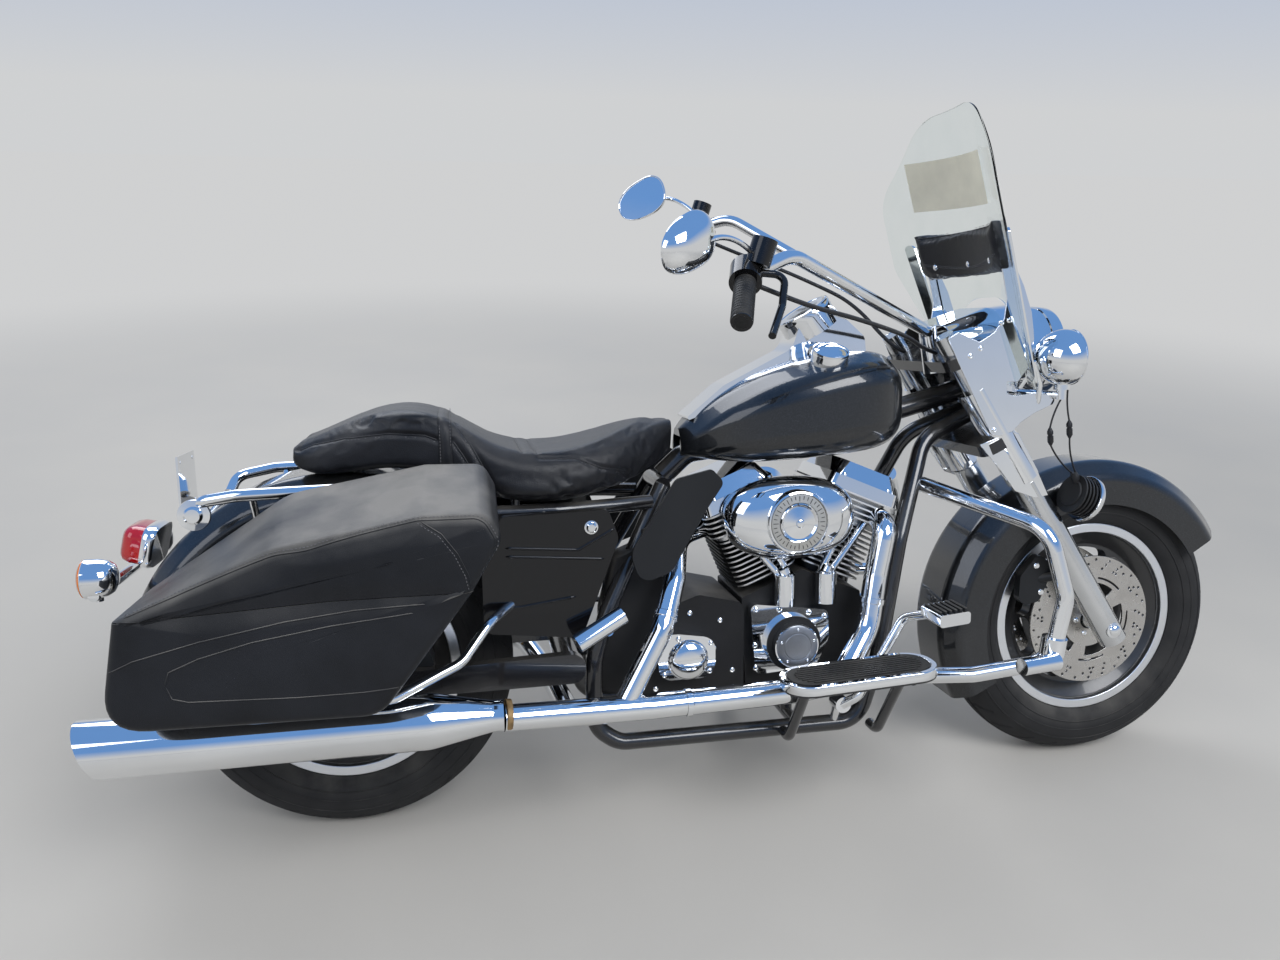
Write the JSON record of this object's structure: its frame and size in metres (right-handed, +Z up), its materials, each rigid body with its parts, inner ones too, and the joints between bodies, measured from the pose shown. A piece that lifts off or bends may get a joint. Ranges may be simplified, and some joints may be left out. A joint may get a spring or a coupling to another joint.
{
  "type": "touring cruiser motorcycle",
  "caption": "Two-wheeled touring cruiser with a V-twin engine, hard leather saddlebags, clear windshield and engine guards, leaning on its side stand.",
  "frame": {"origin": "the rear tyre's contact point on the floor", "axes": "+X forward, +Y to the machine's left, +Z up; the machine leans 12 degrees to +Y on its side stand"},
  "size_m": [2.3528, 1.0883, 1.4072],
  "materials": {
    "bare_alloy": "satin",
    "belt_rubber": "matt",
    "black_rubber": "ribbed rubber in a chrome rim",
    "charcoal_paint": "dark charcoal metallic, clear coat",
    "chrome": "bright chrome",
    "clear_screen": "clear",
    "disc_steel": "ground steel",
    "engine_black": "wrinkle black with polished fin edges",
    "frame_black": "gloss black",
    "gloss_black": "gloss black",
    "leather": "black grained leather",
    "red_lens": "red and amber lens",
    "satin_black": "satin black",
    "tyre": "matt rubber",
    "wheel_black": "gloss black cast alloy, machined lip",
    "wire_black": "matt black sleeve"
  },
  "bodies": {
    "chassis": {"frame_backbone": "frame_black", "frame_downtubes": "frame_black", "rear_suspension": "frame_black", "drive_belt": "belt_rubber", "rear_fender": "charcoal_paint", "cylinders": "engine_black", "rocker_covers": "chrome", "engine_cases": "engine_black", "engine_covers": "chrome", "pushrod_tubes": "chrome", "air_cleaner": "chrome", "primary_cover": "chrome", "horn_and_intake": "chrome", "exhaust_pipes": "chrome", "mufflers": "chrome", "fuel_tank": "charcoal_paint", "console_and_cap": "chrome", "seat": "leather", "frame_rear": "frame_black", "side_covers": "gloss_black", "heat_deflectors": "satin_black", "saddlebag_right": "leather", "saddlebag_left": "leather", "chrome_rails": "chrome", "standing_plate": "chrome", "rear_lamps": "red_lens", "footboards": "black_rubber", "foot_controls": "chrome", "engine_guards": "chrome", "rear_caliper": "satin_black", "frame_lower_rails": "frame_black"},
    "steering": {"front_fender": "charcoal_paint", "fork_legs": "bare_alloy", "fork_yokes": "frame_black", "headlamp": "chrome", "nacelle_and_covers": "chrome", "front_calipers": "satin_black", "windshield": "clear_screen", "windshield_brackets": "chrome", "windshield_pouch": "leather", "handlebar": "chrome", "hand_controls": "satin_black", "mirrors": "chrome", "passing_lamps": "chrome", "hanging_lamp": "satin_black", "lamp_wires": "wire_black", "control_cables": "wire_black"},
    "front_wheel_set": {"front_tyre": "tyre", "front_wheel": "wheel_black", "front_discs": "disc_steel"},
    "rear_wheel_set": {"rear_tyre": "tyre", "rear_wheel": "wheel_black", "rear_disc": "disc_steel", "rear_pulley": "bare_alloy"},
    "side_stand_leg": {"side_stand": "frame_black"},
    "bag_lid_right": {"saddlebag_lid_right": "leather"},
    "bag_lid_left": {"saddlebag_lid_left": "leather"}
  },
  "joints": [
    {"name": "steering_turn", "type": "hinge", "parent": "chassis", "child": "steering", "pos_m": [1.34955, 0.166, 0.84255], "axis": [-0.4384, 0.1869, 0.8792], "range_deg": [-20, 20]},
    {"name": "front_wheel_spin", "type": "hinge", "parent": "steering", "child": "front_wheel_set", "pos_m": [1.612, 0.05435, 0.31729], "axis": [0, 0.9781, -0.2079], "continuous": true},
    {"name": "rear_wheel_spin", "type": "hinge", "parent": "chassis", "child": "rear_wheel_set", "pos_m": [0, 0.05435, 0.31729], "axis": [0, 0.9781, -0.2079], "continuous": true},
    {"name": "side_stand_fold", "type": "hinge", "parent": "chassis", "child": "side_stand_leg", "pos_m": [0.77, 0.19045, 0.12069], "axis": [0.0906, 0.4763, 0.8746], "range_deg": [0, 114.92]},
    {"name": "bag_lid_right_open", "type": "hinge", "parent": "chassis", "child": "bag_lid_right", "pos_m": [0, -0.32235, 0.6325], "axis": [1, 0, 0], "range_deg": [0, 70]},
    {"name": "bag_lid_left_open", "type": "hinge", "parent": "chassis", "child": "bag_lid_left", "pos_m": [0, 0.52669, 0.45203], "axis": [-1, 0, 0], "range_deg": [0, 70]}
  ]
}
